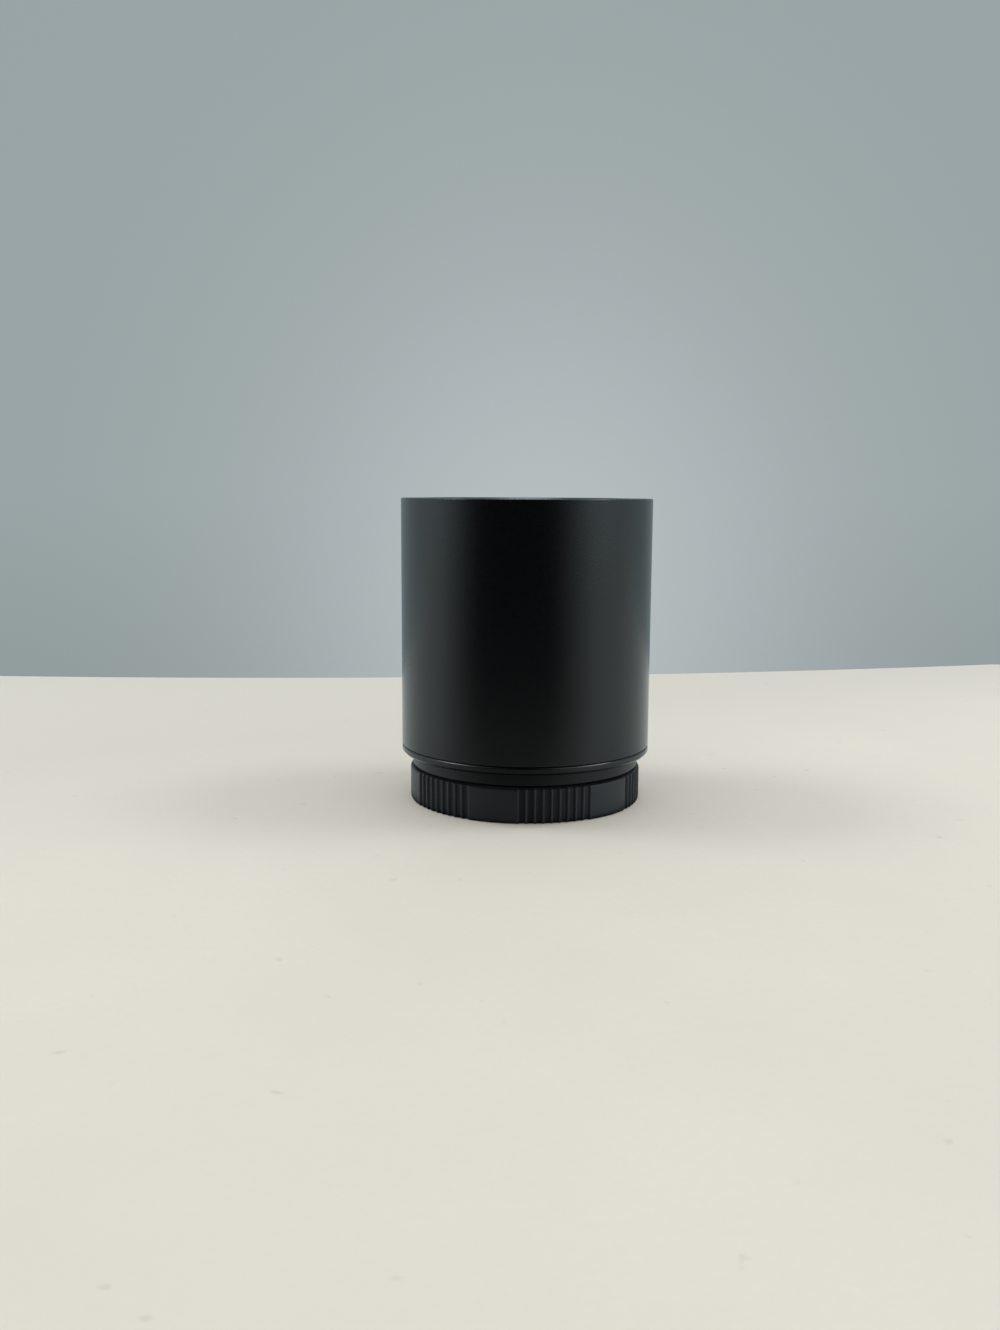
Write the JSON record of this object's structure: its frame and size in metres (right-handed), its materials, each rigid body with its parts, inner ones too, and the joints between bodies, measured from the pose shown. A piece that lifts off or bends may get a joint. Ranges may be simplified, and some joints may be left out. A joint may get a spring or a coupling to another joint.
{
  "type": "camera teleconverter",
  "caption": "Black cylindrical screw-mount teleconverter with coated glass inside, standing on its ribbed screw-on rear cap.",
  "frame": {"origin": "middle of the rear cap's underside, on the surface that the converter stands on", "axes": "+Z along the optical axis from the camera side to the lens side; -Y faces the viewer"},
  "size_m": [0.05, 0.05, 0.0604],
  "materials": {
    "barrel_anodised": "satin black anodised",
    "cell_anodised": "matt black anodised",
    "cap_plastic": "moulded black, slight sheen",
    "matt_black": "matt black light trap",
    "shim_brass": "rolled sheet",
    "grub_steel": "blackened",
    "coated_glass": "polished, single-layer coating"
  },
  "bodies": {
    "rear_cap": {"rear_cap": "cap_plastic"},
    "lift_ring": {"cell_shim": "shim_brass"},
    "converter": {"main_barrel": "barrel_anodised", "rear_mount": "barrel_anodised", "mount_grub_screw": "grub_steel", "baffle_tube": "matt_black", "baffle_washer": "matt_black", "rear_baffle_ring": "cell_anodised", "lens_cell": "cell_anodised", "cell_lock_ring": "cell_anodised", "front_retaining_ring": "cell_anodised", "front_element": "coated_glass", "front_spacer": "matt_black", "second_element": "coated_glass", "seat_ring": "matt_black", "third_element": "coated_glass", "rear_spacer": "matt_black", "rear_element": "coated_glass", "rear_retaining_ring": "cell_anodised"}
  },
  "joints": [
    {"name": "cap_lift", "type": "slide", "parent": "rear_cap", "child": "lift_ring", "axis": [0, 0, 1], "range_m": [0, 0.0045]},
    {"name": "cap_turn", "type": "hinge", "parent": "lift_ring", "child": "converter", "pos_m": [0, 0, 0.005], "axis": [0, 0, 1], "range_deg": [0, 2160]}
  ],
  "couplings": [
    {"joint": "cap_lift", "follows": "cap_turn", "m_per_rad": 0.00011937}
  ]
}
